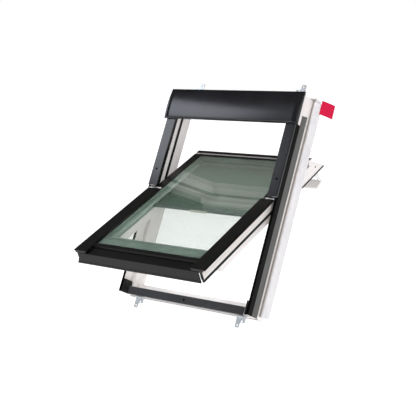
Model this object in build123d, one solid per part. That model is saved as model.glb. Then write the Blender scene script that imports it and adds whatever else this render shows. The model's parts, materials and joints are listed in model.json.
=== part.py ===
from build123d import *
import os

# Centre-pivot roof window with its frame, drawn lying flat and leaned to the roof at the end.
# In the flat drawing X runs across, Y up the slope and Z out of the roof, all from the pivot line.
# The sash is drawn closed and then turned about the pivot line to its open rest. Sizes in mm and degrees.

# Lean of the roof and opening of the sash at rest
roof_pitch = 64.2
sash_open = 41.1

# Frame timber
frame_width = 550.0
frame_height = 780.0
pivot_rise = 2.0  # pivot line above the frame's middle
frame_depth = 102.0
face_rise = 5.0  # outer face of the covers above the pivot line
front_step = 7.0  # timber front under that face
jamb_wall = 22.0
tongue_wall = 8.0  # jamb beside the rebate
rebate_depth = 41.5
sill_wall = 25.0
sill_step = 17.5  # sill front under the timber front
sill_side_gap = 6.0  # sill front clear of the rebate
sill_stop_rise = 22.0
sill_stop_gap = 4.0
head_wall = 20.0
head_stop = 67.0
head_nose = 10.0  # straight part of the head's stop, above its slope
head_heel = 8.0  # sash behind that slope
seat_gap = 3.0  # between the sash and the head

# Sheet covers of the frame
sheet = 1.5
frame_cover_width = 38.5
frame_cover_split = 11.6  # lower end above the pivot line
frame_cover_top = 74.0  # upper end below the frame's top
cover_lip = 4.8
bead_width = 4.0
bead_rise = 1.0
stop_split = 12.6
profile_split = 10.8
side_profile_drop = 24.0
strip_wall = 1.2
strip_gap = 0.5
strip_width = 33.5
strip_collar_gap = 7.0
strip_slant = 8.5  # the strip's upper end rises to the back
profile_lap = 5.0  # side profile's upper end under the hood
sill_cover_drop = 27.0

# Rain hood
hood_side_gap = 8.5
hood_height = 117.8
hood_top_rise = 9.6  # above the timber front
hood_low_rise = 12.7
hood_bulge = 17.0
hood_bulge_share = 0.45
hood_skirt = 5.5
hood_flange = 15.0
hood_lip_gap = 0.7  # lip above the side covers
hood_field_inset = 13.0
hood_field_margin = 8.0
hood_field_rise = 1.6
hood_field_corner = 14.0

# Seals
gasket_gap = 0.7
seal_leg_wall = 1.2
seal_leg_drop = 26.0  # below the timber front
jamb_gasket_wall = 1.2
jamb_gasket_width = 12.0
jamb_gasket_level = 4.5  # below the rebate floor
jamb_gasket_start = 20.0
head_gasket_gap = 0.6

# Corner blocks in the rebates' lower ends
block_gap = 1.5  # beside the sash's lip
block_height = 22.0  # above the sill
block_corner = 7.0

# Insulating collar, pull tag and roof brackets
collar_wall = 12.0
collar_depth = 37.0
collar_round = 4.0
collar_flare = 12.0  # how far the sides stand out more at the back
collar_end_gap = 10.0  # sides above the frame's lower end
collar_foot_wall = 4.0
tag_length = 52.5
tag_height = 51.0
tag_wall = 0.8
tag_rise = 14.0  # top edge above the frame
tag_root = 8.0  # from the collar's back
tag_turn = 32.6  # degrees outward from the collar's side
bracket_width = 36.0
bracket_tongue = 18.0
bracket_shoulder = 21.0
bracket_reach = 40.0
bracket_lift = 19.0  # how much farther the upper pair reaches, to clear the hood
bracket_leg = 19.0
bracket_wall = 2.0
bracket_inset = 56.0  # from the frame's side to the bracket's middle
bracket_shift = 5.5  # lower pair set over to the left
bracket_hole = 5.5
bracket_hole_aside = 6.0  # shoulder hole from the bracket's middle
bracket_hole_edge = 5.0  # shoulder hole from the shoulder
tongue_hole_edge = 9.0
bracket_corner = 5.0

# Sash timber and glass
sash_gap = 4.0  # between sash and jamb
sash_depth = 68.0
stile_width = 43.0
glass_seat = 20.0
pane_gap = 4.0
sash_foot_gap = 35.0
top_rail_width = 46.0
top_rail_seat = 24.0
bottom_rail_width = 28.0
outer_pane_wall = 5.0
cavity = 11.0
inner_pane_wall = 4.0
pane_overhang = 46.0
inner_pane_inset = 2.0
spacer_width = 7.0
spacer_inset = 1.0
sight_edge = 10.0  # covers past the inner edge of the timber

# Covers of the sash
cover_overhang = 40.8
cover_split = 5.0
cover_inset = 3.0
cover_skirt = 4.0
cap_wall = 3.0
cap_drop = 9.0
cover_bevel = 8.0
cover_bevel_drop = 2.0
lip_width = 9.0
lip_drop = 30.0
lip_split = 10.0
lip_back_step = 20.0  # from the stile's outer side to the lip's inner edge
rib_pitch = 6.5
rib_depth = 1.0
rib_width = 2.0
rib_count = 4
sash_gasket_drop = 10.5
sash_gasket_inset = 2.0
trim_split = 14.0
trim_bead_width = 10.0
top_cover_width = 14.0
bottom_bead_width = 22.0
bottom_bead_rise = 4.5
bottom_bead_gap = 0.5
bottom_cover_side_gap = 2.0
channel_drop = 5.0  # channel floor under the timber front
front_lip_width = 5.0
front_lip_out = 1.3  # past the ends of the side covers
front_lip_rise = 2.2
bottom_flange = 30.0
drip_drop = 31.0
drip_flare = 8.5
drip_reach = 9.0
hem_height = 6.0
hem_out = 1.5
bead_lap = 8.0

# Seal round the back of the sash's upper half
rear_seal_wall = 1.5
rear_seal_width = 5.0
rear_seal_start = 60.0

# Pivot hinges
eye_radius = 4.8
pin_radius = 3.5
pin_clearance = 0.05
lug_gap = 1.0
plate_wall = 2.5
plate_height = 45.0
plate_depth = 40.0
plate_drop = 8.0

# Handle, latch and strike
handle_rail_width = 26.0
handle_rail_wall = 3.0
handle_rail_inset = 47.0  # below the sash top to the rail's middle
handle_side_inset = 3.0
ear_wall = 5.0
ear_radius = 7.0
handle_pivot_drop = 9.0
handle_pin_radius = 3.0
arm_wall = 6.0
arm_gap = 0.4
arm_width = 9.0
arm_reach = 31.0
handle_drop = 40.0
grip_width = 41.0
grip_wall = 7.0
grip_fall = 8.0
case_width = 60.0
case_depth = 16.0
case_corner = 4.0
bolt_width = 20.0
bolt_wall = 8.0
bolt_rest = 1.0  # bolt nose past the sash top at rest
bolt_throw = 8.0
bolt_length = 22.0
bolt_clearance = 0.3
strike_wall = 1.2
strike_margin = 8.0
pocket_end_gap = 4.0  # past the shot bolt
pocket_gap = 3.0

# Roller blind behind the glass
cassette_height = 26.0
cassette_depth = 26.0
cassette_round = 8.0
blind_gap = 2.0  # behind the inner pane
guide_width = 8.0
guide_depth = 13.0
guide_wall = 1.5
groove_depth = 5.0
bar_height = 12.0
bar_depth = 9.0
bar_gap = 1.0
tongue_gap = 0.8
fabric_wall = 0.8
fabric_gap = 2.0
tab_width = 70.0
tab_height = 9.0
tab_wall = 4.5
tab_corner = 3.0
blind_drop = 318.0  # from the top rail to the bottom bar's upper edge

# Screws, and how far a cut runs past what it cuts
screw_head = 4.0
screw_rise = 1.2
cover_screw_up = 62.0
overrun = 1.0

# Lines across the frame
half = frame_width / 2
jamb_in = half - jamb_wall
tongue_in = half - tongue_wall
frame_low = -frame_height / 2 - pivot_rise
frame_top = frame_height + frame_low
sill_in = frame_low + sill_wall
head_in = frame_top - head_wall
stop_low = head_in - head_stop

# Levels out of the roof
front = face_rise - front_step
back = front - frame_depth
rebate = front - rebate_depth
under = face_rise - sheet  # underside of the cover plates
sash_back = front - sash_depth
sill_front = front - sill_step
strip_high = front - side_profile_drop - strip_gap
strip_low = strip_high - strip_width
collar_front = strip_low - strip_collar_gap
collar_back = collar_front - collar_depth
slope_high = front - head_nose
slope_low = sash_back + head_heel

# Lines of the sash when closed
sash_half = jamb_in - sash_gap
stile_in = sash_half - stile_width
pane_wall = stile_in + glass_seat
pane_half = pane_wall - pane_gap
sight_half = stile_in + sight_edge
sash_low = sill_in + sash_foot_gap
sash_top = head_in - seat_gap
rail_front = stop_low - seat_gap
top_rail_low = rail_front - top_rail_width
top_sight = top_rail_low + sight_edge
pane_top = top_rail_low + top_rail_seat - pane_gap
outer_pane_low = sash_low - pane_overhang
inner_pane_low = sash_low + inner_pane_inset
bottom_rail_top = sash_low + bottom_rail_width
outer_pane_back = front - outer_pane_wall
cavity_back = outer_pane_back - cavity
pane_back = cavity_back - inner_pane_wall
cover_low = frame_low - cover_overhang
cover_half = half - cover_inset


def up_slope(outline, low, high):
    # an outline of (across, out) points carried up the slope
    face = make_face(Polyline(*[(x, low, n) for x, n in outline], close=True))
    return extrude(face, amount=high - low, dir=(0, 1, 0))


def across(outline, left, right):
    # an outline of (up, out) points carried across the window
    face = make_face(Polyline(*[(left, s, n) for s, n in outline], close=True))
    return extrude(face, amount=right - left, dir=(1, 0, 0))


def block(x0, x1, s0, s1, n0, n1):
    return up_slope([(x0, n0), (x1, n0), (x1, n1), (x0, n1)], s0, s1)


def rod(radius, x0, x1, s, n):
    # a round bar across the window
    return Location((x0, s, n)) * extrude(Plane.YZ * Circle(radius), amount=x1 - x0)


def peg(radius, x, s, n0, n1):
    # a round bar out of the roof
    return Location((x, s, n0)) * extrude(Circle(radius), amount=n1 - n0)


frame_nodes = {}
sash_nodes = {}


def pair(nodes, name, solid):
    # the right-hand piece and its mirror on the left
    nodes[name + "_r"] = solid
    nodes[name + "_l"] = mirror(solid, about=Plane.YZ)


# Frame timber: jambs with the front rebate, head with its stop, sill with its rear stop
jamb_outline = [(jamb_in, back), (half, back), (half, front), (tongue_in, front),
                (tongue_in, rebate), (jamb_in, rebate)]
pair(frame_nodes, "frame_jamb", up_slope(jamb_outline, frame_low, frame_top))

bolt_level = sash_back - (case_depth + bolt_wall) / 2
pocket_half = bolt_width / 2 + pocket_gap
pocket_end = head_in - seat_gap + bolt_rest + bolt_throw + pocket_end_gap
pocket_low = bolt_level - pocket_gap
pocket_high = bolt_level + bolt_wall + pocket_gap
head = across([(stop_low, front), (frame_top, front), (frame_top, back), (head_in, back),
               (head_in, slope_low), (stop_low, slope_high)], -jamb_in, jamb_in)
head -= block(-pocket_half, pocket_half, head_in, pocket_end, pocket_low, pocket_high)
frame_nodes["frame_head"] = head

sill_half = jamb_in - sill_side_gap
sill_stop = sash_back - sill_stop_gap
sill = across([(frame_low, back), (sill_in + sill_stop_rise, back), (sill_in + sill_stop_rise, sill_stop),
               (sill_in, sill_stop), (sill_in, rebate), (frame_low, rebate)], -jamb_in, jamb_in)
sill += block(-sill_half, sill_half, frame_low, sill_in, rebate, sill_front)
frame_nodes["frame_sill"] = sill

# Upper half: stop strips in the rebates, covers over them, seals under the covers
stop_outline = [(jamb_in, rebate), (tongue_in, rebate), (tongue_in, front), (half, front),
                (half, under), (jamb_in, under)]
pair(frame_nodes, "upper_stop", up_slope(stop_outline, stop_split, frame_top))

cover_out = half + sheet
cover_in = cover_out - frame_cover_width
profile_top = front + sheet
upper_outline = [(cover_in, face_rise - cover_lip), (cover_in, face_rise),
                 (cover_out - bead_width, face_rise), (cover_out - bead_width, face_rise - bead_rise),
                 (cover_out, face_rise - bead_rise), (cover_out, profile_top), (half, profile_top),
                 (half, under), (cover_in + sheet, under), (cover_in + sheet, face_rise - cover_lip)]
pair(frame_nodes, "upper_cover", up_slope(upper_outline, frame_cover_split, frame_top - frame_cover_top))

cover_seal_low = front + sheet + gasket_gap
cover_seal_in = cover_in + sheet
seal_leg_in = jamb_in - seal_leg_wall
seal_leg_foot = front - seal_leg_drop
upper_seal = up_slope([(cover_seal_in, cover_seal_low), (seal_leg_in, cover_seal_low),
                       (seal_leg_in, seal_leg_foot), (jamb_in, seal_leg_foot), (jamb_in, under),
                       (cover_seal_in, under)], stop_split, stop_low)
pair(frame_nodes, "upper_gasket", upper_seal)


def head_slope(level):
    # how far up the head's sloping stop lies at a level
    return head_in - head_stop * (level - slope_low) / (slope_high - slope_low)


# One seal goes up the inside of a jamb, along the head's slope and down the other jamb
seal_high = rebate - jamb_gasket_level
seal_low = seal_high - jamb_gasket_width
slope_top, slope_foot = head_slope(seal_low), head_slope(seal_high)
seal_wall = seat_gap - head_gasket_gap
jamb_seal = across([(slope_foot - seal_wall, seal_high), (slope_foot, seal_high),
                    (slope_top, seal_low), (slope_top - seal_wall, seal_low)], -jamb_in, jamb_in)
for left in (-jamb_in, jamb_in - jamb_gasket_wall):
    jamb_seal += across([(jamb_gasket_start, seal_low), (slope_top, seal_low), (slope_foot, seal_high),
                         (jamb_gasket_start, seal_high)], left, left + jamb_gasket_wall)
frame_nodes["jamb_gasket"] = jamb_seal

# Outer sides: black profile round the jamb's edge, bare metal strip for the flashing
hood_low = frame_top + sheet - hood_height
side_profile = block(half, cover_out, frame_low, hood_low + profile_lap, front - side_profile_drop, profile_top)
side_profile += block(tongue_in, half, frame_low, profile_split, front, profile_top)
pair(frame_nodes, "side_profile", side_profile)
strip_top = frame_top - frame_cover_top
strip_outline = [(frame_low, strip_low), (strip_top + strip_slant, strip_low), (strip_top, strip_high),
                 (frame_low, strip_high)]
pair(frame_nodes, "flashing_strip", across(strip_outline, half, half + strip_wall))

# Sill cover
sill_cover = across([(sill_in + sheet, sill_front), (sill_in + sheet, sill_front + sheet),
                     (frame_low - sheet, sill_front + sheet), (frame_low - sheet, sill_front - sill_cover_drop),
                     (frame_low, sill_front - sill_cover_drop), (frame_low, sill_front)],
                    -sill_half, sill_half)
frame_nodes["sill_cover"] = sill_cover

# Corner blocks: rubber plugs beside the sash's lips, rounded at the top of the rebate's floor
block_in = sash_half + lip_width + block_gap
corner = block(block_in, tongue_in, frame_low, sill_in + block_height, rebate, front)
corner = fillet(corner.edges().filter_by(Axis.X).group_by(Axis.Y)[-1].sort_by(Axis.Z)[0], block_corner)
pair(frame_nodes, "corner_block", corner)

# Rain hood: a bowed sheet with a raised field, a turned lip, closed ends and a flange on the head
hood_half = half + sheet + hood_side_gap
hood_mid = hood_low + hood_height * hood_bulge_share


def hood_edges(inset, rise):
    # the bowed line of the hood from its top edge to its lower edge
    start = (0, frame_top + sheet - inset, front + hood_top_rise + rise)
    middle = (0, hood_mid, front + hood_bulge + rise)
    end = (0, hood_low + inset, front + hood_low_rise + rise)
    return start, ThreePointArc(start, middle, end), end


top_out, bow_out, low_out = hood_edges(0, 0)
top_in, bow_in, low_in = hood_edges(sheet, -sheet)
flange_foot = front - hood_flange
lip_foot = face_rise + hood_lip_gap
hood_shell = make_face([
    bow_out,
    Polyline(low_out, (0, hood_low, lip_foot), (0, hood_low + sheet, lip_foot), low_in),
    bow_in,
    Polyline(top_in, (0, frame_top, flange_foot), (0, frame_top + sheet, flange_foot), top_out)])
hood = Location((-hood_half, 0, 0)) * extrude(hood_shell, amount=hood_half * 2, dir=(1, 0, 0))
skirt = front + hood_skirt
hood_end = make_face([
    bow_out, Polyline(low_out, (0, hood_low, skirt), (0, frame_top + sheet, skirt), top_out)])
for side in (-hood_half, hood_half - sheet):
    hood += Location((side, 0, 0)) * extrude(hood_end, amount=sheet, dir=(1, 0, 0))
for left, right in ((-hood_half, -half), (half, hood_half)):
    hood -= block(left, right, frame_top, frame_top + sheet, flange_foot, skirt)
top_field, bow_field, low_field = hood_edges(0, hood_field_rise)
field_face = make_face([bow_field, Line(low_field, low_out), bow_out, Line(top_out, top_field)])
field_half = hood_half - hood_field_inset
field = Location((-field_half, 0, 0)) * extrude(field_face, amount=field_half * 2, dir=(1, 0, 0))
field_low = hood_low + hood_field_margin
field_top = frame_top + sheet - hood_field_margin
field_cut = block(-field_half, field_half, field_low, field_top,
                  front, front + hood_bulge + hood_field_rise + overrun)
field_cut = fillet(field_cut.edges().filter_by(Axis.Z).group_by(Axis.Y)[-1], hood_field_corner)
hood += field & field_cut
frame_nodes["rain_hood"] = hood

# Insulating collar round the outside of the frame, with its pull tag
collar_out = half + collar_wall
collar_foot = collar_out + collar_flare
side_collar = up_slope([(half, collar_back), (collar_foot, collar_back), (collar_out, collar_front),
                        (half, collar_front)], frame_low + collar_end_gap, frame_top)
side_collar = fillet(side_collar.edges().filter_by(Axis.Y).sort_by(Axis.X)[-2:], collar_round)
pair(frame_nodes, "collar", side_collar)
top_collar = block(-collar_out, collar_out, frame_top, frame_top + collar_wall, collar_back, collar_front)
frame_nodes["collar_top"] = fillet(top_collar.edges().filter_by(Axis.X).group_by(Axis.Y)[-1], collar_round)
frame_nodes["collar_bottom"] = block(-half, half, frame_low - collar_foot_wall, frame_low,
                                     collar_back, collar_front)

tag_top = frame_top + tag_rise
tag_x = collar_foot - collar_flare * tag_root / collar_depth
tag = block(0, tag_wall, tag_top - tag_height, tag_top, -tag_length, 0)
frame_nodes["pull_tag"] = Location((tag_x, 0, collar_back + tag_root)) * Rot(0, -tag_turn, 0) * tag

# Galvanised brackets that screw to the roof above the head and below the sill, all from one pressing
bracket_x = half - bracket_inset


def bracket(middle, edge, way, lift):
    # an angle: one leg on the frame's end, the other a stepped foot flat on the roof with two screw holes
    left, right = middle - bracket_width / 2, middle + bracket_width / 2
    foot = edge + way * bracket_wall
    shoulder = edge + way * (lift + bracket_shoulder)
    tip = edge + way * (lift + bracket_reach)
    tongue_mid = middle + way * (bracket_width - bracket_tongue) / 2
    face = collar_front + bracket_wall
    flat = block(left, right, min(edge, shoulder), max(edge, shoulder), collar_front, face)
    tongue = block(tongue_mid - bracket_tongue / 2, tongue_mid + bracket_tongue / 2,
                   min(edge, tip), max(edge, tip), collar_front, face)
    ends = tongue.edges().filter_by(Axis.Z).sort_by(Axis.Y)
    flat += fillet(ends[-2:] if way > 0 else ends[:2], bracket_corner)
    for x, s in ((middle - way * bracket_hole_aside, shoulder - way * bracket_hole_edge),
                 (tongue_mid, tip - way * tongue_hole_edge)):
        flat -= peg(bracket_hole / 2, x, s, collar_front - overrun, face + overrun)
    return flat + block(left, right, min(edge, foot), max(edge, foot), collar_front, collar_front + bracket_leg)


for side, letter in ((1, "r"), (-1, "l")):
    frame_nodes["bracket_top_" + letter] = bracket(side * bracket_x, frame_top, 1, bracket_lift)
    frame_nodes["bracket_bottom_" + letter] = bracket(side * bracket_x - bracket_shift, frame_low, -1, 0)

# Pivot hinges: a lug standing in the frame's rebate, a plate with its pin on the sash
lug_in = jamb_in + lug_gap
lug = block(lug_in, tongue_in, -eye_radius, eye_radius, rebate, 0)
lug += rod(eye_radius, lug_in, tongue_in, 0, 0)
lug -= rod(pin_radius + pin_clearance, lug_in - overrun, tongue_in + overrun, 0, 0)
pair(frame_nodes, "frame_hinge", lug)

plate_out = sash_half + plate_wall
plate = across([(-eye_radius, 0), (-eye_radius, -plate_depth), (plate_height, -plate_depth),
                (plate_height, -plate_drop), (eye_radius, 0)], sash_half, plate_out)
plate += rod(eye_radius, sash_half, plate_out, 0, 0)
plate += rod(pin_radius, sash_half, tongue_in - lug_gap, 0, 0)
pair(sash_nodes, "sash_hinge", plate)

# Strike plate on the head round the bolt's pocket
strike_half = pocket_half + strike_margin
strike = block(-strike_half, strike_half, head_in - strike_wall, head_in,
               pocket_low - strike_margin / 2, pocket_high + strike_margin / 2)
strike -= block(-pocket_half, pocket_half, head_in - strike_wall - overrun, head_in + overrun,
                pocket_low, pocket_high)
frame_nodes["strike_plate"] = strike

# Screw heads on the covers and the sill
screws = []
for side in (-1, 1):
    screws.append(peg(screw_head, side * (cover_in + frame_cover_width / 2), frame_cover_split + cover_screw_up,
                      face_rise, face_rise + screw_rise))
sill_face = sill_front + sheet
screws.append(peg(screw_head, 0, (frame_low + sill_in) / 2, sill_face, sill_face + screw_rise))
frame_nodes["cover_screws"] = Compound(children=screws)

# Sash timber: stiles, the sloping top rail and the bottom rail under the glass
stile_outline = [(stile_in, sash_back), (sash_half, sash_back), (sash_half, front), (pane_wall, front),
                 (pane_wall, pane_back), (stile_in, pane_back)]
pair(sash_nodes, "sash_stile", up_slope(stile_outline, sash_low, top_rail_low))
seat_top = top_rail_low + top_rail_seat
top_rail = across([(top_rail_low, pane_back), (seat_top, pane_back), (seat_top, front), (rail_front, front),
                   (rail_front, slope_high), (sash_top, slope_low), (sash_top, sash_back),
                   (top_rail_low, sash_back)], -sash_half, sash_half)
sash_nodes["sash_top_rail"] = top_rail
sash_nodes["sash_bottom_rail"] = block(-stile_in, stile_in, sash_low, bottom_rail_top, sash_back, pane_back)

# Sealed glass: the outer pane laps over the bottom rail, a spacer frame parts it from the inner pane
sash_nodes["outer_pane"] = block(-pane_half, pane_half, outer_pane_low, pane_top, outer_pane_back, front)
sash_nodes["inner_pane"] = block(-pane_half, pane_half, inner_pane_low, pane_top, pane_back, cavity_back)
spacer_half = pane_half - spacer_inset
spacer = block(-spacer_half, spacer_half, inner_pane_low + spacer_inset, pane_top - spacer_inset,
               cavity_back, outer_pane_back)
spacer -= block(spacer_width - spacer_half, spacer_half - spacer_width,
                inner_pane_low + spacer_inset + spacer_width, pane_top - spacer_inset - spacer_width,
                cavity_back, outer_pane_back)
sash_nodes["pane_spacer"] = spacer

# Lower half: wide side covers with end caps, ribbed lips under them and the lips' seals
cover_edge = face_rise - cover_bevel_drop
cover_step = sight_half + bead_width
cover_outline = [(sight_half, front), (sight_half, face_rise - bead_rise), (cover_step, face_rise - bead_rise),
                 (cover_step, face_rise), (cover_half - cover_bevel, face_rise), (cover_half, cover_edge),
                 (cover_half, face_rise - cover_skirt), (cover_half - sheet, face_rise - cover_skirt),
                 (cover_half - sheet, cover_edge - sheet), (cover_half - cover_bevel, under),
                 (cover_step + sheet, under), (cover_step + sheet, under - bead_rise),
                 (sight_half + sheet, under - bead_rise), (sight_half + sheet, front)]
lower_cover = up_slope(cover_outline, cover_low, -cover_split)
lower_cap = block(cover_step, cover_half - cover_bevel, cover_low, cover_low + cap_wall,
                  face_rise - cap_drop, face_rise)
pair(sash_nodes, "lower_cover", lower_cover + lower_cap)

lip_out = sash_half + lip_width
lip_in = sash_half - lip_back_step
lip_foot_level = front - lip_drop
lip_low = cover_low + cap_wall
lip = up_slope([(lip_in, front), (lip_in, under), (lip_out, under), (lip_out, lip_foot_level),
                (sash_half, lip_foot_level), (sash_half, front)], lip_low, -lip_split)
for index in range(rib_count):
    rib_top = under - rib_pitch * (index + 1)
    lip -= block(lip_out - rib_depth, lip_out, lip_low, -lip_split, rib_top - rib_width, rib_top)
drip_line = cover_low - front_lip_out
toe_low = drip_line + sheet
lip += block(sash_half, lip_out, toe_low, lip_low, lip_foot_level, face_rise - cap_drop)
pair(sash_nodes, "side_lip", lip)
pair(sash_nodes, "side_gasket",
     block(sash_half + sash_gasket_inset, lip_out, toe_low, -lip_split,
           lip_foot_level - sash_gasket_drop, lip_foot_level))

# Upper half: slim trim round the glass and a cover along the top edge
trim_top = front + sheet
trim = block(-sash_half, sash_half, trim_split, top_sight + trim_bead_width, front, trim_top)
trim -= block(-sight_half, sight_half, trim_split, top_sight, front, trim_top)
sash_nodes["upper_trim"] = trim
top_cover_low = rail_front - top_cover_width
top_cover_high = rail_front + sheet
sash_nodes["top_cover"] = across([(top_cover_low, front), (top_cover_low, trim_top), (top_cover_high, trim_top),
                                  (top_cover_high, slope_high + sheet), (rail_front, slope_high + sheet),
                                  (rail_front, front)], -sash_half, sash_half)

# Dark seal round the back edge of the upper half, up one side, over the top and down the other
seal_front = sash_back + rear_seal_width
rear_seal = block(-sash_half - rear_seal_wall, sash_half + rear_seal_wall,
                  rear_seal_start, sash_top + rear_seal_wall, sash_back, seal_front)
rear_seal -= block(-sash_half, sash_half, rear_seal_start, sash_top, sash_back, seal_front)
sash_nodes["rear_seal"] = rear_seal

# Lower edge: a bead at the pane and the channelled cover that ends in a flared drip
bead_half = sight_half - bottom_bead_gap
bead_top = outer_pane_low + bead_lap
sash_nodes["bottom_bead"] = across(
    [(bead_top, front), (bead_top, front + sheet), (outer_pane_low, front + bottom_bead_rise),
     (bead_top - bottom_bead_width, front + bottom_bead_rise), (bead_top - bottom_bead_width - sheet, front),
     (bead_top - bottom_bead_width - sheet, front - channel_drop),
     (outer_pane_low, front - channel_drop), (outer_pane_low, front)], -bead_half, bead_half)

channel = front - channel_drop
channel_half = sash_half - bottom_cover_side_gap
lip_top = channel + front_lip_rise
flange_low = channel - bottom_flange
bottom_cover = across([(sash_low, flange_low), (sash_low, channel), (drip_line + front_lip_width, channel),
                       (drip_line + front_lip_width / 2, lip_top), (drip_line, lip_top),
                       (drip_line, channel - sheet), (sash_low - sheet, channel - sheet),
                       (sash_low - sheet, flange_low)], -channel_half, channel_half)
drip_corners = [(channel_half, drip_line, lip_top), (-channel_half, drip_line, lip_top),
                (-channel_half - drip_flare, drip_line - drip_reach, channel - drip_drop),
                (channel_half + drip_flare, drip_line - drip_reach, channel - drip_drop)]
bottom_cover += extrude(make_face(Polyline(*drip_corners, close=True)), amount=sheet, dir=(0, 1, 0))
drip_right, drip_left, foot_left, foot_right = [Vector(*corner) for corner in drip_corners]
hem_share = hem_height / (foot_left - drip_left).length
hem_corners = [foot_left, foot_right, foot_right + (drip_right - foot_right) * hem_share,
               foot_left + (drip_left - foot_left) * hem_share]
bottom_cover += extrude(make_face(Polyline(*hem_corners, close=True)), amount=hem_out, dir=(0, -1, 0))
sash_nodes["bottom_cover"] = bottom_cover


def link(start, end, width, x0, x1):
    # a bar with round ends between two points of a side view
    run = Vector(end[0] - start[0], end[1] - start[1])
    aside = Vector(-run.Y, run.X) * (width / 2 / run.length)
    outline = [(start[0] + aside.X, start[1] + aside.Y), (end[0] + aside.X, end[1] + aside.Y),
               (end[0] - aside.X, end[1] - aside.Y), (start[0] - aside.X, start[1] - aside.Y)]
    return across(outline, x0, x1) + rod(width / 2, x0, x1, *start) + rod(width / 2, x0, x1, *end)


# Handle: a lock rail with two ears on the top rail, and a bar on two arms that turns on the ears' pins
handle_s = sash_top - handle_rail_inset
handle_n = sash_back - handle_rail_wall - handle_pivot_drop
rail_half = sash_half - handle_side_inset
ear_in = rail_half - ear_wall
arm_out = ear_in - arm_gap
arm_in = arm_out - arm_wall
handle_rail = block(-rail_half, rail_half, handle_s - handle_rail_width / 2, handle_s + handle_rail_width / 2,
                    sash_back - handle_rail_wall, sash_back)
pivot = (handle_s, handle_n)
knuckle = (handle_s + arm_reach, handle_n - handle_drop)
grip_end = (knuckle[0] - grip_width, knuckle[1] - grip_fall)
handle = link(knuckle, grip_end, grip_wall, -arm_out, arm_out)
for side in (-1, 1):
    ear_low, ear_high = sorted((side * ear_in, side * rail_half))
    arm_low, arm_high = sorted((side * arm_in, side * arm_out))
    pin_low, pin_high = sorted((side * arm_in, side * ear_in))
    handle_rail += block(ear_low, ear_high, handle_s - ear_radius, handle_s + ear_radius, handle_n, sash_back)
    handle_rail += rod(ear_radius, ear_low, ear_high, *pivot)
    handle_rail += rod(handle_pin_radius, pin_low, pin_high, *pivot)
    handle += link(pivot, knuckle, arm_width, arm_low, arm_high)
    handle -= rod(handle_pin_radius + pin_clearance, arm_low - overrun, arm_high + overrun, *pivot)
sash_nodes["handle_bar"] = handle

# Latch: a case on the handle's rail and the bolt that shoots into the head
bolt_half = bolt_width / 2
bolt_nose = sash_top + bolt_rest
bolt_tail = bolt_nose - bolt_length
case = block(-case_width / 2, case_width / 2, handle_s, sash_top, sash_back - case_depth, sash_back)
handle_rail += fillet(case.edges().filter_by(Axis.Z), case_corner)
handle_rail -= block(-bolt_half - bolt_clearance, bolt_half + bolt_clearance, bolt_tail - bolt_clearance,
                     sash_top + overrun, bolt_level - bolt_clearance, bolt_level + bolt_wall + bolt_clearance)
sash_nodes["lock_rail"] = handle_rail
sash_nodes["latch_bolt"] = block(-bolt_half, bolt_half, bolt_tail, bolt_nose,
                                 bolt_level, bolt_level + bolt_wall)

# Roller blind: cassette under the top rail, side guides, cloth and the bottom bar with its pull tab
blind_front = pane_back - blind_gap
blind_mid = blind_front - guide_depth / 2
cassette_low = top_rail_low - cassette_height
guide_in = stile_in - guide_width
cassette = block(-stile_in, stile_in, cassette_low, top_rail_low, blind_front - cassette_depth, blind_front)
cassette = fillet(cassette.edges().filter_by(Axis.X).group_by(Axis.Y)[0].sort_by(Axis.Z)[0], cassette_round)
sash_nodes["blind_cassette"] = cassette
groove_half = guide_depth / 2 - guide_wall
guide = block(guide_in, stile_in, bottom_rail_top, cassette_low, blind_front - guide_depth, blind_front)
guide -= block(guide_in, guide_in + groove_depth, bottom_rail_top, cassette_low,
               blind_mid - groove_half, blind_mid + groove_half)
pair(sash_nodes, "blind_guide", guide)

bar_top = top_rail_low - blind_drop
bar_low = bar_top - bar_height
bar_half = guide_in - bar_gap
tongue_half = guide_in + groove_depth - tongue_gap
tongue_depth = groove_half - tongue_gap
bar = block(-bar_half, bar_half, bar_low, bar_top, blind_mid - bar_depth / 2, blind_mid + bar_depth / 2)
bar += block(-tongue_half, tongue_half, bar_low, bar_top, blind_mid - tongue_depth, blind_mid + tongue_depth)
tab = block(-tab_width / 2, tab_width / 2, bar_low - tab_height, bar_low,
            blind_mid - tab_wall / 2, blind_mid + tab_wall / 2)
bar += fillet(tab.edges().filter_by(Axis.Z).group_by(Axis.Y)[0], tab_corner)
sash_nodes["blind_bar"] = bar
cloth_half = guide_in + groove_depth - fabric_gap
sash_nodes["blind_fabric"] = block(-cloth_half, cloth_half, bar_top, cassette_low,
                                   blind_mid - fabric_wall / 2, blind_mid + fabric_wall / 2)

# Open the sash, lean everything to the roof and write one file per piece
lean = Rot(roof_pitch, 0, 0) * Location((0, 0, -collar_front))
swing = lean * Rot(-sash_open, 0, 0)
os.makedirs("parts", exist_ok=True)
for nodes, place in ((frame_nodes, lean), (sash_nodes, swing)):
    for name, solid in nodes.items():
        export_step(place * solid, os.path.join("parts", name + ".step"))
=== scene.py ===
import json
import math

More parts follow.
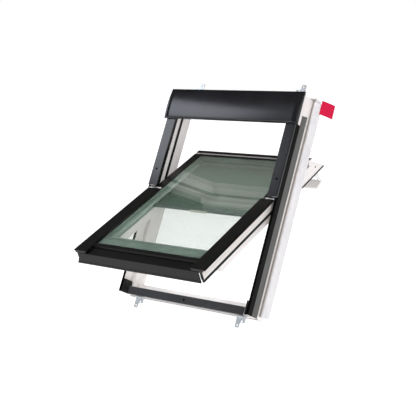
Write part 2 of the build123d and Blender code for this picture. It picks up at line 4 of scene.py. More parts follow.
import bmesh
import bpy
import numpy as np
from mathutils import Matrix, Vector


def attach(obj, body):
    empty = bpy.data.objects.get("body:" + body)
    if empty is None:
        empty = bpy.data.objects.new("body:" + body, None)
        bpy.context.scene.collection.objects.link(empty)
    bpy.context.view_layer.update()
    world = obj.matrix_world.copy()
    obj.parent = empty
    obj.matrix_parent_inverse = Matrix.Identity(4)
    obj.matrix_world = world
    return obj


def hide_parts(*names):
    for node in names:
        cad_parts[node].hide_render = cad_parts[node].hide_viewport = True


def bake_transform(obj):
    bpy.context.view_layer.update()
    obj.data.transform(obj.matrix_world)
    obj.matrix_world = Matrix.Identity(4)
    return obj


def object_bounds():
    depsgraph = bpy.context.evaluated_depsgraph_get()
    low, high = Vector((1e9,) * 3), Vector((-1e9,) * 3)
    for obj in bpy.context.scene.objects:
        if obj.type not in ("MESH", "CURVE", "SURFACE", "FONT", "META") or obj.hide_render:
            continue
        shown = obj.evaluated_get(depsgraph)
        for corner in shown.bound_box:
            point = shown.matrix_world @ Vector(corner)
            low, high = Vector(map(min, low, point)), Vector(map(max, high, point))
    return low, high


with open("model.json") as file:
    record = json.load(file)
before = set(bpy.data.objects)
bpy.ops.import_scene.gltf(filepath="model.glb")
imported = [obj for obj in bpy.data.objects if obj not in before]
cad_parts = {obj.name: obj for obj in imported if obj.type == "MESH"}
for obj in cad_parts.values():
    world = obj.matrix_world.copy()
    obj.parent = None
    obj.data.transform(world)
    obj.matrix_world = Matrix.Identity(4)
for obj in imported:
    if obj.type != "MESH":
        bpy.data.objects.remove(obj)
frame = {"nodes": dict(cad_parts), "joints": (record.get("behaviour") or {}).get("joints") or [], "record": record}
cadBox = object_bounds()
nodes = frame["nodes"]
print("frame loaded:", len(nodes), "nodes")

mm = 0.001
joints = {joint["name"]: joint for joint in frame["joints"]}
mounts = {mount["name"]: mount for mount in frame["record"]["mounts"]}


# Two flat drawings share the pivot line: the roof's and the open sash's.
# Each has x across, s up the slope and n out of it, in millimetres.
def slopeBasis(up):
    up = np.array(up, float)
    return np.array([[1.0, 0.0, 0.0], up, np.cross([1.0, 0.0, 0.0], up)])


roofOut = np.array(mounts["bracket_screws_top_r"]["axis"], float)
roofBasis = slopeBasis(np.cross(roofOut, [1.0, 0.0, 0.0]))
sashBasis = slopeBasis(joints["blind_slide"]["axis"])
pivotPoint = np.array(joints["sash_pivot"]["pos_m"], float)
roofPitch = math.atan2(roofBasis[1][2], roofBasis[1][1])
sashPitch = math.atan2(sashBasis[1][2], sashBasis[1][1])


def toWorld(points, basis):  # flat millimetres to metres in the part's frame
    return pivotPoint + np.asarray(points, float) * mm @ basis


def flatPoints(name, basis):  # a node's corners in a flat drawing, in mm
    mesh = nodes[name].data
    corners = np.empty(len(mesh.vertices) * 3, np.float32)
    mesh.vertices.foreach_get("co", corners)
    return (corners.reshape(-1, 3) - pivotPoint) @ basis.T / mm


def flatBox(name, basis):  # lowest and highest corner of those
    corners = flatPoints(name, basis)
    return corners.min(0), corners.max(0)


def addObject(name, data):
    thing = bpy.data.objects.new(name, data)
    bpy.context.scene.collection.objects.link(thing)
    return thing


# Colours and material nodes
def linear(hexText):  # sRGB hex to the linear colour that the shader wants
    channels = np.array([int(hexText[i:i + 2], 16) for i in (1, 3, 5)]) / 255
    low, high = channels / 12.92, ((channels + 0.055) / 1.055) ** 2.4
    return (*np.where(channels <= 0.04045, low, high).tolist(), 1.0)


def addNode(tree, kind, links=(), **settings):  # links: (input, node, output)
    node = tree.nodes.new(kind)
    for key, value in settings.items():
        if hasattr(node, key):
            setattr(node, key, value)
        else:
            node.inputs[key.replace("_", " ")].default_value = value
    for socket, source, output in links:
        tree.links.new(source.outputs[output], node.inputs[socket])
    return node


# A material with object coordinates turned level with a slope; stretch draws its pattern out along x, s and n
def newMaterial(name, turn=0.0, stretch=(1.0, 1.0, 1.0), **shader):
    material = bpy.data.materials.new(name)
    material.use_nodes = True
    tree = material.node_tree
    bsdf = tree.nodes["Principled BSDF"]
    for key, value in shader.items():
        bsdf.inputs[key.replace("_", " ")].default_value = value
    coords = addNode(tree, "ShaderNodeTexCoord")
    level = addNode(tree, "ShaderNodeMapping", [("Vector", coords, "Object")],
                    vector_type="TEXTURE", Rotation=(turn, 0.0, 0.0), Scale=stretch)
    return material, tree, bsdf, level


colourSpan = (0.3, 0.7)  # where on a pattern its two colours stand


# Dresses a shader from a pattern: two colours, a range of roughness, and a relief given as its own pattern,
# depth in mm and strength
def dress(tree, bsdf, pattern, output, colours, rough=None, relief=None):
    ramp = addNode(tree, "ShaderNodeValToRGB", [("Fac", pattern, output)])
    for element, place, colour in zip(ramp.color_ramp.elements, colourSpan, colours):
        element.position, element.color = place, linear(colour)
    tree.links.new(ramp.outputs["Color"], bsdf.inputs["Base Color"])
    if rough:
        spread = addNode(tree, "ShaderNodeMapRange", [("Value", pattern, output)],
                         To_Min=rough[0], To_Max=rough[1])
        tree.links.new(spread.outputs["Result"], bsdf.inputs["Roughness"])
    if relief:
        height, depth, strength = relief
        bump = addNode(tree, "ShaderNodeBump", [("Height", height, output)],
                       Distance=depth * mm, Strength=strength)
        tree.links.new(bump.outputs["Normal"], bsdf.inputs["Normal"])
    return ramp


# Painted pine: a soft white film with the grain just telegraphing through along the length
def paintedTimber(name, turn, dark="#e0dad9", light="#ebe7e6"):
    material, tree, bsdf, level = newMaterial(name, turn, stretch=(1, 14, 1), Specular_IOR_Level=0.45)
    grain = addNode(tree, "ShaderNodeTexNoise", [("Vector", level, "Vector")],
                    Scale=1 / (9 * mm), Detail=4.0, Roughness=0.6)  # 3 mm grain drawn 9 mm wide to show
    dress(tree, bsdf, grain, "Fac", (dark, light), rough=(0.36, 0.5), relief=(grain, 0.25, 0.35))
    return material


# Polyester powder coat on folded aluminium: satin, with a faint orange peel and a trace of dust
def powderCoat(name, turn, dark, light, rough=(0.34, 0.44), specular=0.5):
    material, tree, bsdf, level = newMaterial(name, turn, Specular_IOR_Level=specular)
    cloud = addNode(tree, "ShaderNodeTexNoise", [("Vector", level, "Vector")],
                    Scale=1 / (70 * mm), Detail=5.0)
    peel = addNode(tree, "ShaderNodeTexNoise", [("Vector", level, "Vector")],
                   Scale=1 / (2.5 * mm), Detail=2.0)  # 0.8 mm peel drawn coarser to show
    dress(tree, bsdf, cloud, "Fac", (dark, light), rough=rough, relief=(peel, 0.05, 0.3))
    return material


# EPDM rubber: extruded, dull black with a greyish bloom
def extrudedRubber(name, turn):
    material, tree, bsdf, level = newMaterial(name, turn, stretch=(1, 6, 1), Specular_IOR_Level=0.3)
    bloom = addNode(tree, "ShaderNodeTexNoise", [("Vector", level, "Vector")],
                    Scale=1 / (18 * mm), Detail=4.0)
    dress(tree, bsdf, bloom, "Fac", ("#0b0b0b", "#1a1a19"), rough=(0.5, 0.7))
    return material


# Hot-dip galvanised steel: bright zinc with spangles a few millimetres across
def zincSteel(name, turn):
    material, tree, bsdf, level = newMaterial(name, turn, Metallic=0.6)
    spangle = addNode(tree, "ShaderNodeTexVoronoi", [("Vector", level, "Vector")], Scale=1 / (6 * mm))
    dress(tree, bsdf, spangle, "Color", ("#d3d9dc", "#e6ebee"), rough=(0.25, 0.45))
    return material


# Mill-finish flashing strip: dull grey aluminium drawn through rollers, so streaked along its length
def rolledStrip(name, turn):
    material, tree, bsdf, level = newMaterial(name, turn, stretch=(1, 40, 1), Metallic=0.08,
                                              Specular_IOR_Level=0.15)
    streak = addNode(tree, "ShaderNodeTexNoise", [("Vector", level, "Vector")],
                     Scale=1 / (4 * mm), Detail=4.0)
    dress(tree, bsdf, streak, "Fac", ("#545453", "#6c6c6b"), rough=(0.6, 0.75))
    return material


# Float glass: clear, a little green from its iron, mirror smooth; its index is raised from 1.52 to match
# the strength of its reflections
def floatGlass(name):
    material, tree, bsdf, level = newMaterial(name, Roughness=0.0, IOR=1.66, Transmission_Weight=1.0)
    haze = addNode(tree, "ShaderNodeTexNoise", [("Vector", level, "Vector")],
                   Scale=1 / (400 * mm), Detail=1.0)
    dress(tree, bsdf, haze, "Fac", ("#fafdfb", "#fcfffd"))
    return material


# Solution-dyed polyester blind cloth: plain weave, grey green, with a dim glow where light comes through
def blindWeave(name, turn):
    material, tree, bsdf, level = newMaterial(name, turn, Roughness=0.85, Specular_IOR_Level=0.2, IOR=1.15,
                                              Transmission_Weight=0.5)
    waves = [addNode(tree, "ShaderNodeTexWave", [("Vector", level, "Vector")], bands_direction=way,
                     Scale=1 / (6 * mm), Distortion=0.4) for way in ("X", "Y")]  # 0.6 mm yarn drawn at 2 mm
    weave = addNode(tree, "ShaderNodeMix", [("A", waves[0], "Fac"), ("B", waves[1], "Fac")], Factor=0.5)
    dress(tree, bsdf, weave, "Result", ("#586a5e", "#6d7e72"), relief=(weave, 0.1, 0.25))
    return material


# Polythene film over foam: milky white, with thin creases that catch the light; its front edge is bare
# grey brown foam
def wrapFilm(name, turn):
    material, tree, bsdf, level = newMaterial(name, turn, stretch=(1, 2.5, 1), Specular_IOR_Level=0.5)
    crease = addNode(tree, "ShaderNodeTexNoise", [("Vector", level, "Vector")],
                     Scale=1 / (26 * mm), Detail=6.0, Distortion=1.4)
    film = dress(tree, bsdf, crease, "Fac", ("#d6d4d7", "#e4e2e4"), rough=(0.25, 0.5),
                 relief=(crease, 1.2, 0.6))
    bare = addNode(tree, "ShaderNodeAttribute", attribute_name="bareFoam")
    cover = addNode(tree, "ShaderNodeMix", [("Factor", bare, "Fac"), ("A", film, "Color")],
                    data_type="RGBA", B=linear("#958c85"))
    tree.links.new(cover.outputs["Result"], bsdf.inputs["Base Color"])
    return material


# Coated card in one plain red, with a fine mottle a little brighter where it is rubbed
def redCard(name):
    material, tree, bsdf, level = newMaterial(name, Specular_IOR_Level=0.4)
    rub = addNode(tree, "ShaderNodeTexNoise", [("Vector", level, "Vector")],
                  Scale=1 / (1.5 * mm), Detail=4.0)
    dress(tree, bsdf, rub, "Fac", ("#c40c3b", "#d21344"), rough=(0.35, 0.5))
    return material


# White PVC of the ribbed lips: smooth, drawn along its length
def extrudedPvc(name, turn):
    material, tree, bsdf, level = newMaterial(name, turn, stretch=(1, 30, 1), Specular_IOR_Level=0.4)
    drawn = addNode(tree, "ShaderNodeTexNoise", [("Vector", level, "Vector")],
                    Scale=1 / (6 * mm), Detail=3.0)
    dress(tree, bsdf, drawn, "Fac", ("#d9d3cf", "#e3dfdc"), rough=(0.35, 0.45))
    return material


# Tipped ends on drawn pieces of the sash: a piece's lowest millimetres up the slope turn from its finish
# to one plain colour, the blind bar's paler moulded grip and a black end on the right lip only
tipSet = {"side_lip_r": {"length": 2.7, "colour": "#101010"},
          "blind_bar": {"length": 8.4, "colour": "#c3c6b4"}}


def tipped(material, node):
    tree = material.node_tree
    bsdf = tree.nodes["Principled BSDF"]
    coat = bsdf.inputs["Base Color"].links[0].from_node
    coords = addNode(tree, "ShaderNodeTexCoord")
    up = addNode(tree, "ShaderNodeVectorMath", [(0, coords, "Object")], operation="DOT_PRODUCT")
    up.inputs[1].default_value = sashBasis[1].tolist()
    below = addNode(tree, "ShaderNodeMath", [(0, up, "Value")], operation="LESS_THAN")
    line = flatBox(node, sashBasis)[0][1] + tipSet[node]["length"]
    below.inputs[1].default_value = line * mm + float(pivotPoint @ sashBasis[1])
    cover = addNode(tree, "ShaderNodeMix", [("Factor", below, "Value"), ("A", coat, "Color")],
                    data_type="RGBA", B=linear(tipSet[node]["colour"]))
    tree.links.new(cover.outputs["Result"], bsdf.inputs["Base Color"])
    return material


finish = {
    "timberFrame": paintedTimber("paintedPineFrame", roofPitch),
    # Painted light: a whiter copy of the painted pine for the sill, lifting the shade the open sash throws on it
    "timberSillPaintedLight": paintedTimber("paintedPineSillPaintedLight", roofPitch, "#f6f3f2", "#fdfbfa"),
    "timberSash": paintedTimber("paintedPineSash", sashPitch),
    "coatFrame": powderCoat("powderCoatGrey", roofPitch, "#18181a", "#1d1d20", rough=(0.2, 0.27)),  # smooth
    # Painted light: a lighter copy of the grey coat for the sill cover, lifting the shade it lies in
    "coatSillPaintedLight": powderCoat("powderCoatSillPaintedLight", roofPitch, "#2a2a2c", "#313134"),
    # Painted shade: a darker copy of the grey coat for the sash's covers, which face upward out of the light
    "coatSashPaintedShade": powderCoat("powderCoatSashPaintedShade", sashPitch, "#121211", "#181716", specular=0.3),  # darker
    "coatBlack": powderCoat("powderCoatBlack", roofPitch, "#040404", "#070707", specular=0.04),  # matt
    "rubberFrame": extrudedRubber("epdmRubberFrame", roofPitch),
    "rubberSash": extrudedRubber("epdmRubberSash", sashPitch),
    "pvc": tipped(extrudedPvc("extrudedPvc", sashPitch), "side_lip_r"),
    "zinc": zincSteel("galvanisedSteel", roofPitch),
    "strip": rolledStrip("millAluminium", roofPitch),
    "glass": floatGlass("floatGlass"),
    "weave": blindWeave("polyesterWeave", sashPitch),
    "film": wrapFilm("polytheneFilm", roofPitch),
    "card": redCard("redCoatedCard"),
    # Baked lacquer: clean white with a soft sheen
    "lacquer": powderCoat("whiteLacquer", sashPitch, "#dad8d7", "#e4e2e1", rough=(0.3, 0.4)),
    # Painted and anodised aluminium behind the glass: satin green grey, the bar with a paler moulded grip
    "spacer": powderCoat("spacerAluminium", sashPitch, "#6f8277", "#7d8f84"),
    "rail": powderCoat("anodisedRail", sashPitch, "#55625b", "#63706a"),
    "guide": powderCoat("anodisedGuide", sashPitch, "#a5b3aa", "#b2bfb7"),
    "bar": tipped(powderCoat("anodisedBar", sashPitch, "#55625b", "#63706a"), "blind_bar"),
    # Foam tape on the back of the pane: dull green grey
    "tape": powderCoat("glazingTape", sashPitch, "#94a69b", "#a2b3a9", specular=0.2),
}

wear = {
    "timberFrame": ("frame_jamb_l", "frame_jamb_r", "frame_head", "upper_stop_l", "upper_stop_r"),
    "timberSillPaintedLight": ("frame_sill",),
    "timberSash": ("sash_stile_l", "sash_stile_r", "sash_top_rail", "sash_bottom_rail"),
    "coatFrame": ("rain_hood", "upper_cover_l", "upper_cover_r"),
    "coatSillPaintedLight": ("sill_cover",),
    "coatSashPaintedShade": ("lower_cover_l", "lower_cover_r", "bottom_cover", "bottom_bead", "upper_trim", "top_cover"),
    "coatBlack": ("side_profile_l", "side_profile_r", "cover_screws"),
    "rubberFrame": ("upper_gasket_l", "upper_gasket_r", "jamb_gasket", "corner_block_l", "corner_block_r"),
    "rubberSash": ("side_gasket_l", "side_gasket_r", "rear_seal"),
    "pvc": ("side_lip_l", "side_lip_r"),
    "zinc": ("bracket_top_l", "bracket_top_r", "bracket_bottom_l", "bracket_bottom_r", "frame_hinge_l",
             "frame_hinge_r", "sash_hinge_l", "sash_hinge_r", "strike_plate", "latch_bolt"),
    "strip": ("flashing_strip_l", "flashing_strip_r"),
    "glass": ("outer_pane", "inner_pane"),
    "weave": ("blind_fabric",),
    "film": ("collar_l", "collar_r", "collar_top", "collar_bottom"),
    "card": ("pull_tag",),
    "lacquer": ("handle_bar", "lock_rail"),
    "spacer": ("pane_spacer",),
    "rail": ("blind_cassette",),
    "guide": ("blind_guide_l", "blind_guide_r"),
    "bar": ("blind_bar",),
}
for key, names in wear.items():
    for name in names:
        nodes[name].data.materials.clear()
        nodes[name].data.materials.append(finish[key])
for name in wear["glass"]:
    nodes[name].visible_shadow = False  # clear glass lets the studio light through to the blind
unfinished = sorted(set(nodes) - {name for names in wear.values() for name in names})
print("finishes set, nodes without one:", unfinished)


def closePoles(mesh, within=0.001 * mm):  # joins each pole's points into one and turns the faces outwards
    work = bmesh.new()
    work.from_mesh(mesh)
    bmesh.ops.remove_doubles(work, verts=work.verts, dist=within)
    bmesh.ops.recalc_face_normals(work, faces=work.faces)
    work.to_mesh(mesh)
    work.free()


# A mesh from grids of points (rows, columns, xyz); wrap joins a grid's last column to its first, its end rows
# being poles; shares fills named attributes, one value for each point
def gridMesh(name, grids, material, wrap=False, shares=()):
    corners, faces, marks, first = [], [], [], 0
    for grid in grids:
        rows, columns = grid.shape[:2]
        index = first + np.arange(rows * columns).reshape(rows, columns)
        ring = np.concatenate([index, index[:, :1]], axis=1) if wrap else index
        quads = np.stack([ring[:-1, :-1], ring[:-1, 1:], ring[1:, 1:], ring[1:, :-1]], -1)
        faces.append(quads.reshape(-1, 4))
        across, along = np.meshgrid(np.linspace(0, 1, columns), np.linspace(0, 1, rows))
        marks.append(np.stack([across, along], -1).reshape(-1, 2))
        corners.append(grid.reshape(-1, 3))
        first += rows * columns
    mesh = bpy.data.meshes.new(name)
    mesh.from_pydata(np.concatenate(corners).tolist(), [], np.concatenate(faces).tolist())
    mesh.polygons.foreach_set("use_smooth", np.ones(len(mesh.polygons), bool))
    loops = np.empty(len(mesh.loops), np.int32)
    mesh.loops.foreach_get("vertex_index", loops)
    uv = np.concatenate(marks)[loops].astype(np.float32)
    mesh.uv_layers.new(name="UVMap").data.foreach_set("uv", uv.ravel())
    for key, values in shares:
        share = mesh.attributes.new(key, "FLOAT", "POINT")
        share.data.foreach_set("value", values.ravel().astype(np.float32))
    if wrap:
        closePoles(mesh)
    mesh.materials.append(material)
    return addObject(name, mesh)


def thicken(piece, wall):  # sheet to a thin solid, evenly on both sides, wall in mm
    solidify = piece.modifiers.new("wall", "SOLIDIFY")
    solidify.thickness, solidify.offset = wall * mm, 0.0


# Blind cloth: a flat rectangle that cups a little and carries shallow rolls across its width
clothSet = {"node": "blind_fabric", "rolls": 34.0, "rollHeight": 0.34, "cup": 0.8, "wall": 0.5,
            "grid": (409, 40)}


def makeCloth():
    low, high = flatBox(clothSet["node"], sashBasis)
    rows, columns = clothSet["grid"]
    x, s = np.meshgrid(np.linspace(low[0], high[0], columns), np.linspace(high[1], low[1], rows))
    share = (high[1] - s) / (high[1] - low[1])
    side = 2 * (x - low[0]) / (high[0] - low[0]) - 1
    held = np.sin(np.pi * share)  # nothing at the roller and the bar
    rolls = clothSet["rollHeight"] * np.sin(2 * np.pi * clothSet["rolls"] * share)
    n = (low[2] + high[2]) / 2 + held * (rolls - clothSet["cup"] * (1 - side ** 2))
    cloth = gridMesh("blindCloth", [toWorld(np.stack([x, s, n], -1), sashBasis)], finish["weave"])
    thicken(cloth, clothSet["wall"])
    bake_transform(cloth)
    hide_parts(clothSet["node"])


# Collar film: the strip's section carried along the strip, pushed out and in by slanting folds;
# each wave has its count over the fold span, its slant round the section and its phase
filmSet = {"rows": 240, "columns": 72, "soften": 4, "edge": 5.0, "frontDrop": 4.0, "capShare": 0.6,
           "endFade": 400.0, "fold": 1.7, "foldMiddle": 0.75, "foldSpan": 780.0, "foldSharpness": 0.6,
           "waves": ((9.0, 1.6, 0.3), (15.0, -2.3, 1.9), (23.0, 3.1, 4.2), (37.0, -4.4, 2.7)),
           "crease": 0.24, "creasePitch": 17.0, "creaseSlant": 5.0, "creaseBeat": 41.0, "creasePhase": 1.0,
           "bareFrom": 0.88, "bareFade": 0.06, "bareWidth": 0.6, "bareSide": 0.1}


def filmRun(node, axis):  # axis: the way the strip runs, 0 across and 1 up the slope
    points = flatPoints(node, roofBasis)
    other = 1 - axis
    low, high = points.min(0), points.max(0)
    away = 1.0 if high[other] + low[other] > 0 else -1.0
    inner, foot = (low[other], high[other]) if away > 0 else (high[other], low[other])
    front = points[points[:, 2] > high[2] - filmSet["edge"]][:, other]
    outer = front.max() if away > 0 else front.min()
    high[2] -= filmSet["frontDrop"] * axis
    section = np.array([[inner, low[2]], [foot, low[2]], [outer, high[2]], [inner, high[2]], [inner, low[2]]])
    length = np.concatenate([[0], np.cumsum(np.hypot(*np.diff(section, axis=0).T))])
    marks = np.linspace(0, length[-1], filmSet["columns"], endpoint=False)
    loop = np.stack([np.interp(marks, length, section[:, i]) for i in (0, 1)], -1)
    for _ in range(filmSet["soften"]):  # rounds the corners
        loop = (np.roll(loop, 1, 0) + 2 * loop + np.roll(loop, -1, 0)) / 4
    centre = loop.mean(0)
    along = np.linspace(low[axis], high[axis], filmSet["rows"])
    runs, turns = along[:, None], (marks / length[-1])[None]
    folds = [np.abs(np.sin(2 * np.pi * (runs * count / filmSet["foldSpan"] + turns * slant) + phase))
             ** filmSet["foldSharpness"] for count, slant, phase in filmSet["waves"]]
    wave = sum(folds) / len(folds)
    fine = np.sin(2 * np.pi * (runs / filmSet["creasePitch"] + filmSet["creaseSlant"] * turns))
    fine = fine * np.sin(runs / filmSet["creaseBeat"] + filmSet["creasePhase"])
    free = np.clip(np.abs(loop[:, 0] - inner) / abs(outer - inner), 0, 1)[None]  # tight on the timber
    ends = np.clip((runs - low[axis]) * (high[axis] - runs) / filmSet["endFade"], 0, 1)
    push = free * ends * (filmSet["fold"] * (wave - filmSet["foldMiddle"]) + filmSet["crease"] * fine)
    outward = loop - centre
    outward /= np.linalg.norm(outward, axis=1)[:, None]
    body = loop[None] + push[..., None] * outward[None]
    pole, cap = (centre + (loop - centre) * share for share in (0.0, filmSet["capShare"]))
    body = np.concatenate([[pole, cap], body, [cap, pole]])
    path = np.concatenate([along[[0, 0]], along, along[[-1, -1]]])
    grid = np.empty(body.shape[:2] + (3,))
    grid[..., axis], grid[..., other], grid[..., 2] = path[:, None], body[..., 0], body[..., 1]
    height = (body[..., 1] - low[2]) / (high[2] - low[2])  # 1 on the strip's front face
    reach = np.abs(body[..., 0] - inner) / abs(outer - inner)  # 0 at the timber
    bare = (np.clip((height - filmSet["bareFrom"]) / filmSet["bareFade"], 0, 1)
            * np.clip((filmSet["bareWidth"] - reach) / filmSet["bareSide"], 0, 1))
    film = gridMesh("film_" + node, [toWorld(grid, roofBasis)], finish["film"], wrap=True,
                    shares=[("bareFoam", bare)])
    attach(film, "frame")
    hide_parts(node)


# Pull tag: a flat card bowed along its length, its free lower corner curling out
tagSet = {"node": "pull_tag", "grid": (36, 40), "bow": 2.2, "curl": -1.0, "curlPower": 3, "wall": 0.6}


def makeTag():
    low, high = flatBox(tagSet["node"], roofBasis)
    rows, columns = tagSet["grid"]
    reach, s = np.meshgrid(np.linspace(0, 1, columns), np.linspace(high[1], low[1], rows))
    down = (high[1] - s) / (high[1] - low[1])
    way = np.array([high[0] - low[0], low[2] - high[2]])
    aside = np.array([-way[1], way[0]]) / np.hypot(*way)
    lift = tagSet["bow"] * np.sin(np.pi * reach) - tagSet["curl"] * (reach * down) ** tagSet["curlPower"]
    x = low[0] + way[0] * reach + aside[0] * lift
    n = high[2] + way[1] * reach + aside[1] * lift
    tag = gridMesh("tagCard", [toWorld(np.stack([x, s, n], -1), roofBasis)], finish["card"])
    thicken(tag, tagSet["wall"])
    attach(tag, "frame")
    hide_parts(tagSet["node"])


# Screw head: a low dome turned about its axis, with a cross sunk in its middle and a flat underside let into
# its seat; apart is how far from the middle the outer cover screws begin
screwSet = {"node": "cover_screws", "apart": 90.0, "radius": 4.0, "rise": 1.4, "domePower": 4, "seat": 0.2,
            "crossLength": 2.3, "crossWidth": 0.55, "crossDepth": 0.8, "crossFlank": 0.2, "grid": (16, 48)}


def screwHead(place, axis, basis, scale=1.0):  # axis: 0 across, 2 out; the sign of place gives the way across
    rows, columns = screwSet["grid"]
    overAndUnder = np.concatenate([np.linspace(0, 1, rows), [1, 0]])  # over the dome and back under it
    turn, share = np.meshgrid(np.linspace(0, 2 * np.pi, columns, endpoint=False), overAndUnder)
    radius = screwSet["radius"] * scale * share
    a, b = radius * np.cos(turn), radius * np.sin(turn)
    bar = np.minimum(np.abs(a), np.abs(b))
    sunk = np.clip((screwSet["crossWidth"] - bar) / screwSet["crossFlank"], 0, 1)
    sunk = sunk * (radius < screwSet["crossLength"])
    rise = screwSet["rise"] * (1 - share ** screwSet["domePower"]) - screwSet["crossDepth"] * sunk
    rise[-2:] = -screwSet["seat"]
    grid = np.empty(share.shape + (3,))
    if axis == 2:
        grid[..., 0], grid[..., 1], grid[..., 2] = place[0] + a, place[1] + b, place[2] + rise
    else:
        side = np.sign(place[0])
        grid[..., 0], grid[..., 1], grid[..., 2] = place[0] + side * rise, place[1] + side * a, place[2] + b
    return toWorld(grid, basis)


def makeScrews():
    points = flatPoints(screwSet["node"], roofBasis)
    across, apart = points[:, 0], screwSet["apart"]
    groups = [points[across > apart], points[across < -apart], points[np.abs(across) < apart]]
    places = [np.array([*((group.min(0) + group.max(0)) / 2)[:2], group[:, 2].min()]) for group in groups]
    grids = [screwHead(place, axis=2, basis=roofBasis) for place in places]
    heads = gridMesh("screwHeads", grids, finish["coatBlack"], wrap=True)
    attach(heads, "frame")
    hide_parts(screwSet["node"])


# Edge coat: a flat green grey band baked on the back of the outer pane where it laps past the inner one
coatSet = {"sink": 0.15, "wall": 0.1, "side": 2.0, "grid": (4, 40)}


def makeEdgeCoat():
    outer, inner = flatBox("outer_pane", sashBasis), flatBox("inner_pane", sashBasis)
    rows, columns = coatSet["grid"]
    x, s = np.meshgrid(np.linspace(outer[0][0] + coatSet["side"], outer[1][0] - coatSet["side"], columns),
                       np.linspace(outer[0][1] + coatSet["side"], inner[0][1], rows))
    band = np.stack([x, s, np.full(x.shape, outer[0][2] + coatSet["sink"])], -1)
    coat = gridMesh("edgeCoat", [toWorld(band, sashBasis)], finish["spacer"])
    thicken(coat, coatSet["wall"])
    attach(coat, "sash")


# Glazing tape: green grey bands under the edges of the inner pane, up both sides and along the top, each one's
# section a flat that turns down over the timber's corner, carried straight along the edge
tapeSet = {"sink": 0.15, "wall": 0.1, "edge": 1.0, "clear": 0.3, "turn": 2.0, "rows": 40}


def makeTape():
    pane, stile, rail = (flatBox(name, sashBasis) for name in ("inner_pane", "sash_stile_r", "sash_top_rail"))
    level = pane[0][2] + tapeSet["sink"]
    fall = np.array([level, level, level - tapeSet["turn"]])
    foot, top = pane[0][1] + tapeSet["edge"], pane[1][1] - tapeSet["edge"]
    inner, up = stile[0][0] - tapeSet["clear"], rail[0][1] - tapeSet["clear"]
    across = np.array([pane[1][0] - tapeSet["edge"], inner, inner])
    along = np.linspace(foot, top, tapeSet["rows"])[:, None]
    width = np.linspace(-inner, inner, tapeSet["rows"])[:, None]
    runs = [(side * across, along, fall) for side in (-1, 1)] + [(width, np.array([top, up, up]), fall)]
    grids = [toWorld(np.stack(np.broadcast_arrays(*run), -1), sashBasis) for run in runs]
    tape = gridMesh("glazingTape", grids, finish["tape"])
    thicken(tape, tapeSet["wall"])
    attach(tape, "sash")


# Hood field: the hood's bowed section carried across it and raised by soft shoulders that run in from its
# edges; sides, low and top give where a shoulder starts and how wide it is
fieldSet = {"node": "rain_hood", "sides": (4.0, 18.0), "low": (-2.0, 8.0), "top": (1.0, 14.0), "rise": 4.4,
            "sink": 0.5, "wall": 0.4, "edge": 2.0, "end": 0.5, "skin": 5.0, "bowOrder": 4, "grid": (70, 260)}


def shoulder(distance, start, width):  # eases from 0 to 1
    share = np.clip((distance - start) / width, 0, 1)
    return share * share * (3 - 2 * share)


def makeField():
    points = flatPoints(fieldSet["node"], roofBasis)
    low, high = points.min(0), points.max(0)
    skin = points[(points[:, 0] > high[0] - fieldSet["end"]) & (points[:, 2] > fieldSet["skin"])]
    bow = np.polyfit(skin[:, 1] - low[1], skin[:, 2], fieldSet["bowOrder"])
    rows, columns = fieldSet["grid"]
    x, s = np.meshgrid(np.linspace(low[0] + fieldSet["edge"], high[0] - fieldSet["edge"], columns),
                       np.linspace(low[1] + fieldSet["edge"], high[1] - fieldSet["edge"], rows))
    lift = (shoulder(high[0] - np.abs(x), *fieldSet["sides"]) * shoulder(s - low[1], *fieldSet["low"])
            * shoulder(high[1] - s, *fieldSet["top"]))
    n = np.polyval(bow, s - low[1]) + fieldSet["rise"] * lift - fieldSet["sink"]
    field = gridMesh("hoodField", [toWorld(np.stack([x, s, n], -1), roofBasis)], finish["coatFrame"])
    thicken(field, fieldSet["wall"])
    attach(field, "frame")


# Plugs over the screws in the stiles' outer sides, near their upper ends: small screw heads turned sideways
plugSet = {"node": "sash_stile_r", "up": 313.0, "out": -44.0, "size": 0.75}


def makePlugs():
    high = flatBox(plugSet["node"], sashBasis)[1]
    middle = np.array([high[0], plugSet["up"], plugSet["out"]])
    grids = [screwHead(middle * (side, 1, 1), axis=0, basis=sashBasis, scale=plugSet["size"])
             for side in (-1, 1)]
    plugs = gridMesh("screwPlugs", grids, finish["rubberSash"], wrap=True)
    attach(plugs, "sash")


makeCloth()
makeEdgeCoat()
makeTape()
makeField()
makePlugs()
for node, axis in (("collar_l", 1), ("collar_r", 1), ("collar_top", 0), ("collar_bottom", 0)):
    filmRun(node, axis)
makeTag()
makeScrews()
print("cloth, edge coat, tape, hood field, plugs, film, tag and screws made")


# Floor and sky; studioDark is what surfaces mirror where no card stands
stageSet = {"floorDrop": 0.35, "floorSize": 60.0, "floorSpeck": 30.0, "floorShades": ("#8c8c8c", "#909090"),
            "glow": 1.25, "white": (1.0, 1.0, 1.0, 1.0), "whiteTo": 0.12, "darkFrom": 0.42,
            "skyTop": (0.04, 0.04, 0.045, 1.0), "studioDark": "#2c2c2e"}


def makeFloor():
    half = stageSet["floorSize"] / 2
    height = cadBox[0].z - stageSet["floorDrop"]
    mesh = bpy.data.meshes.new("floor")
    mesh.from_pydata([(x * half, y * half, height) for x, y in ((-1, -1), (1, -1), (1, 1), (-1, 1))],
                     [], [(0, 1, 2, 3)])
    floor = addObject("floor", mesh)
    material, tree, bsdf, level = newMaterial("lightTable", Roughness=0.9, Specular_IOR_Level=0.0,
                                              Emission_Color=stageSet["white"],
                                              Emission_Strength=stageSet["glow"])
    speck = addNode(tree, "ShaderNodeTexNoise", [("Vector", level, "Vector")],
                    Scale=1 / stageSet["floorSpeck"])
    dress(tree, bsdf, speck, "Fac", stageSet["floorShades"])
    mesh.materials.append(material)


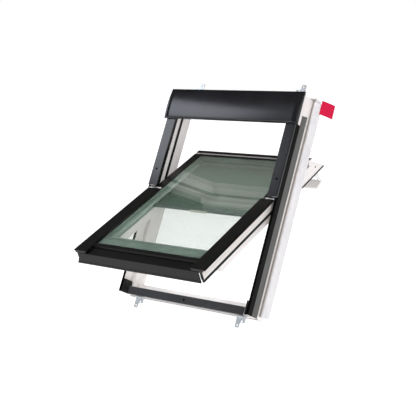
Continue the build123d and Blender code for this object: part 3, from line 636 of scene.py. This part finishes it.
def makeSky():  # white round the horizon, dark overhead; surfaces mirror a dark studio with the cards in it
    world = bpy.data.worlds.new("studio")
    bpy.context.scene.world = world
    world.use_nodes = True
    tree = world.node_tree
    coords = addNode(tree, "ShaderNodeTexCoord")
    height = addNode(tree, "ShaderNodeSeparateXYZ", [("Vector", coords, "Generated")])
    ramp = addNode(tree, "ShaderNodeValToRGB", [("Fac", height, "Z")])
    low, high = ramp.color_ramp.elements
    low.position, low.color = stageSet["whiteTo"], stageSet["white"]
    high.position, high.color = stageSet["darkFrom"], stageSet["skyTop"]
    path = addNode(tree, "ShaderNodeLightPath")
    seen = addNode(tree, "ShaderNodeMix", [("Factor", path, "Is Glossy Ray"), ("A", ramp, "Color")],
                   data_type="RGBA", B=linear(stageSet["studioDark"]))
    tree.links.new(seen.outputs["Result"], tree.nodes["Background"].inputs["Color"])


# Lights shine on the part and don't show in it; cards show in its gloss and don't shine on it
plainWhite, coolWhite, greenWhite = (1.0, 1.0, 1.0), (0.86, 0.9, 1.0), (0.92, 1.0, 0.86)
lights = {
    "topSoft": {"place": (0.2, -0.9, 3.2), "aim": (0.0, 0.0, 0.0), "size": (3.0, 3.0), "power": 92.0},
    "backSoft": {"place": (0.3, 2.6, 1.2), "aim": (0.0, 0.0, 0.0), "size": (2.4, 2.0), "power": 24.0},
    "rightFill": {"place": (3.2, -1.6, 0.6), "aim": (0.0, 0.0, 0.0), "size": (2.0, 2.0), "power": 32.0},
}
cards = {
    "leftCard": {"place": (-1.05, -0.75, 1.02), "aim": (-0.2, 0.1, 0.25), "size": (0.75, 0.5), "power": 5.2,
                 "colour": coolWhite},
    "midCard": {"place": (-0.42, -0.84, 1.10), "aim": (0.1, 0.0, 0.25), "size": (0.5, 0.5), "power": 0.35,
                "colour": coolWhite},
    "sillCard": {"place": (-0.50, -1.19, 0.30), "aim": (0.2, -0.23, -0.33), "size": (1.3, 0.6), "power": 2.4,
                 "colour": coolWhite},
    "backCard": {"place": (-2.4, 2.2, 2.8), "aim": (-2.4, 0.0, 2.8), "size": (2.8, 1.05), "power": 2.5,
                 "colour": greenWhite},
}


def aimAt(thing, place, aim):
    thing.location = place
    thing.rotation_mode = "QUATERNION"
    thing.rotation_quaternion = (Vector(aim) - Vector(place)).to_track_quat("-Z", "Y")


def makeLight(name, place, aim, size, power, card, colour=plainWhite):
    data = bpy.data.lights.new(name, "AREA")
    data.shape, data.size, data.size_y, data.energy = "RECTANGLE", *size, power
    data.color = colour
    lamp = addObject(name, data)
    aimAt(lamp, place, aim)
    lamp.visible_camera = False
    lamp.visible_glossy, lamp.visible_diffuse = card, not card


cameraSet = {"place": (1.8702, -2.6465, 0.4738), "aim": (-0.0296, -0.0270, -0.0286), "lens": 79.96,
             "sensor": 36.0}


def makeCamera():
    data = bpy.data.cameras.new("camera")
    data.lens, data.sensor_width = cameraSet["lens"], cameraSet["sensor"]
    camera = addObject("camera", data)
    aimAt(camera, cameraSet["place"], cameraSet["aim"])
    bpy.context.scene.camera = camera


makeFloor()
makeSky()
for name, settings in lights.items():
    makeLight(name, **settings, card=False)
for name, settings in cards.items():
    makeLight(name, **settings, card=True)
makeCamera()
bpy.context.scene.view_settings.view_transform = "Standard"
print("stage, lights and camera set")
